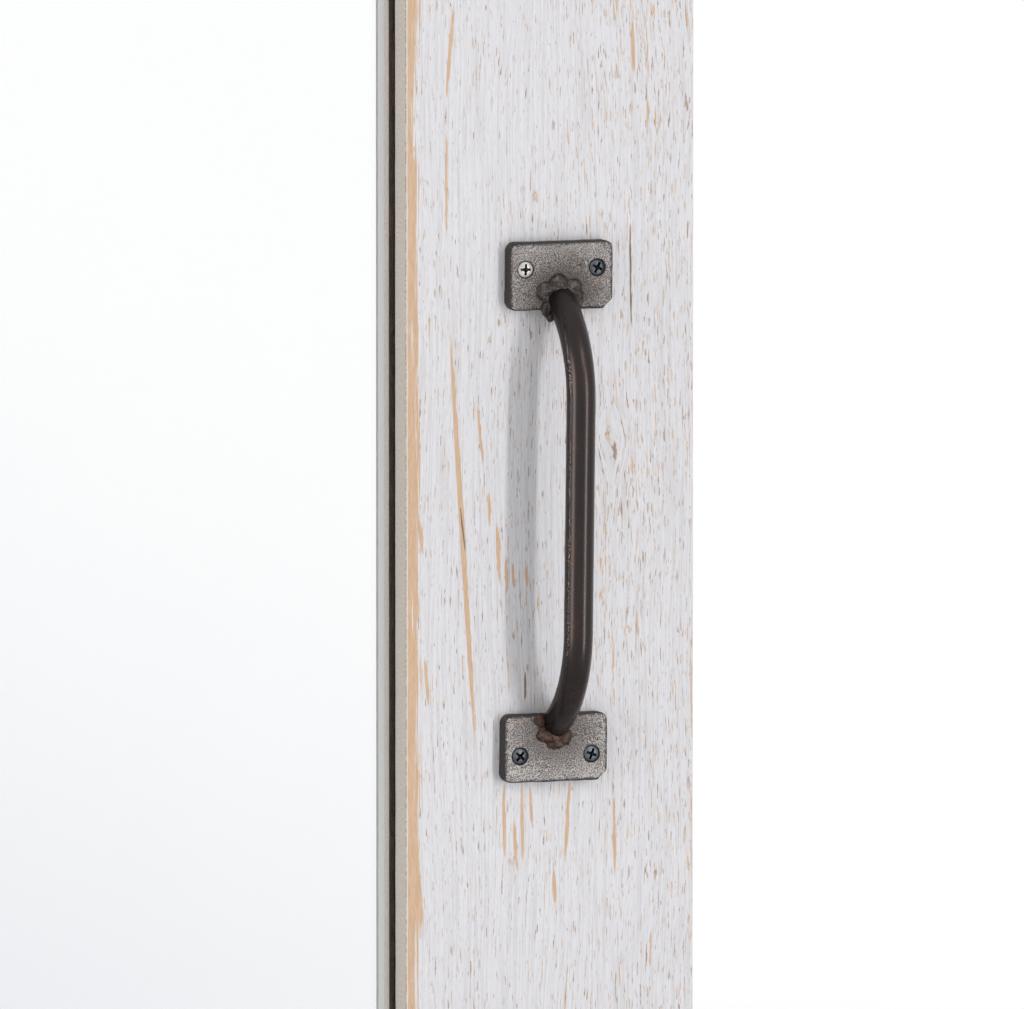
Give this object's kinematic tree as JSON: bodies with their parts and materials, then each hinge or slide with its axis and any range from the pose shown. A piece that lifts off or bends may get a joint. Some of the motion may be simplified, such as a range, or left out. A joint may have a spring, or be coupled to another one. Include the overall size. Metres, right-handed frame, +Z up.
{
  "type": "shutter mirror",
  "caption": "Wall mirror with sliding whitewashed plank shutters on a flat iron rail, each with hanger straps, grooved wheels and a bowed iron pull handle.",
  "frame": {"origin": "on the wall plane, at the back of the top rail, midway between the two keyhole plates at the height where their screws bear", "axes": "+Z up, +X to the viewer's right along the wall, the front faces -Y and the wall lies at Y = 0"},
  "size_m": [0.524, 0.0663, 0.7823],
  "materials": {
    "whitewashed_wood": "rubbed cool-white paint over pine, bare tan wood showing in streaks",
    "mirror": "clear 4 mm float glass silvered behind",
    "adhesive_foam": "white closed-cell foam",
    "fibreboard": "raw brown fibreboard",
    "zinc_plate": "zinc-plated pressed steel",
    "dark_iron": "waxed dark iron with brown wear",
    "bronzed_iron": "burnished brown-black iron bar with rust tints at the welds",
    "worn_iron": "grey-brown speckled scale with dark edges",
    "black_screw": "blue-black oxide",
    "black_nylon": "satin black nylon"
  },
  "bodies": {
    "frame": {"left_stile": "whitewashed_wood", "right_stile": "whitewashed_wood", "top_rail": "whitewashed_wood", "bottom_rail": "whitewashed_wood", "mirror_glass": "mirror", "foam_pad": "adhesive_foam", "backing_board": "fibreboard", "left_keyhole_plate": "zinc_plate", "right_keyhole_plate": "zinc_plate", "slide_rail": "dark_iron", "left_rail_bolt": "black_screw", "middle_rail_bolt": "black_screw", "right_rail_bolt": "black_screw", "left_rail_spacer": "dark_iron", "middle_rail_spacer": "dark_iron", "right_rail_spacer": "dark_iron", "left_end_stop": "dark_iron", "centre_stop": "dark_iron", "right_end_stop": "dark_iron", "bottom_channel": "dark_iron", "left_channel_screw": "black_screw", "middle_channel_screw": "black_screw", "right_channel_screw": "black_screw"},
    "left_shutter": {"left_shutter_panel": "whitewashed_wood", "left_handle_bar": "bronzed_iron", "left_handle_upper_plate": "worn_iron", "left_handle_lower_plate": "worn_iron", "left_handle_upper_left_screw": "black_screw", "left_handle_upper_right_screw": "black_screw", "left_handle_lower_left_screw": "black_screw", "left_handle_lower_right_screw": "black_screw", "left_outer_strap": "dark_iron", "left_outer_axle": "dark_iron", "left_outer_strap_lower_screw": "black_screw", "left_outer_strap_upper_screw": "black_screw", "left_inner_strap": "dark_iron", "left_inner_axle": "dark_iron", "left_inner_strap_lower_screw": "black_screw", "left_inner_strap_upper_screw": "black_screw"},
    "right_shutter": {"right_shutter_panel": "whitewashed_wood", "right_handle_bar": "bronzed_iron", "right_handle_upper_plate": "worn_iron", "right_handle_lower_plate": "worn_iron", "right_handle_upper_left_screw": "black_screw", "right_handle_upper_right_screw": "black_screw", "right_handle_lower_left_screw": "black_screw", "right_handle_lower_right_screw": "black_screw", "right_outer_strap": "dark_iron", "right_outer_axle": "dark_iron", "right_outer_strap_lower_screw": "black_screw", "right_outer_strap_upper_screw": "black_screw", "right_inner_strap": "dark_iron", "right_inner_axle": "dark_iron", "right_inner_strap_lower_screw": "black_screw", "right_inner_strap_upper_screw": "black_screw"},
    "left_outer_wheel": {"left_outer_wheel": "black_nylon"},
    "left_inner_wheel": {"left_inner_wheel": "black_nylon"},
    "right_outer_wheel": {"right_outer_wheel": "black_nylon"},
    "right_inner_wheel": {"right_inner_wheel": "black_nylon"}
  },
  "joints": [
    {"name": "left_slide", "type": "slide", "parent": "frame", "child": "left_shutter", "axis": [1, 0, 0], "range_m": [0, 0.1255]},
    {"name": "left_outer_wheel_spin", "type": "hinge", "parent": "left_shutter", "child": "left_outer_wheel", "pos_m": [-0.227, -0.02535, 0.0313], "axis": [0, 1, 0], "range_deg": [0, 520]},
    {"name": "left_inner_wheel_spin", "type": "hinge", "parent": "left_shutter", "child": "left_inner_wheel", "pos_m": [-0.151, -0.02535, 0.0313], "axis": [0, 1, 0], "range_deg": [0, 520]},
    {"name": "right_slide", "type": "slide", "parent": "frame", "child": "right_shutter", "axis": [-1, 0, 0], "range_m": [0, 0.1255]},
    {"name": "right_outer_wheel_spin", "type": "hinge", "parent": "right_shutter", "child": "right_outer_wheel", "pos_m": [0.227, -0.02535, 0.0313], "axis": [0, 1, 0], "range_deg": [-520, 0]},
    {"name": "right_inner_wheel_spin", "type": "hinge", "parent": "right_shutter", "child": "right_inner_wheel", "pos_m": [0.151, -0.02535, 0.0313], "axis": [0, 1, 0], "range_deg": [-520, 0]}
  ],
  "couplings": [
    {"joint": "left_outer_wheel_spin", "follows": "left_slide", "rad_per_m": 71.429},
    {"joint": "left_inner_wheel_spin", "follows": "left_slide", "rad_per_m": 71.429},
    {"joint": "right_outer_wheel_spin", "follows": "right_slide", "rad_per_m": -71.429},
    {"joint": "right_inner_wheel_spin", "follows": "right_slide", "rad_per_m": -71.429}
  ]
}
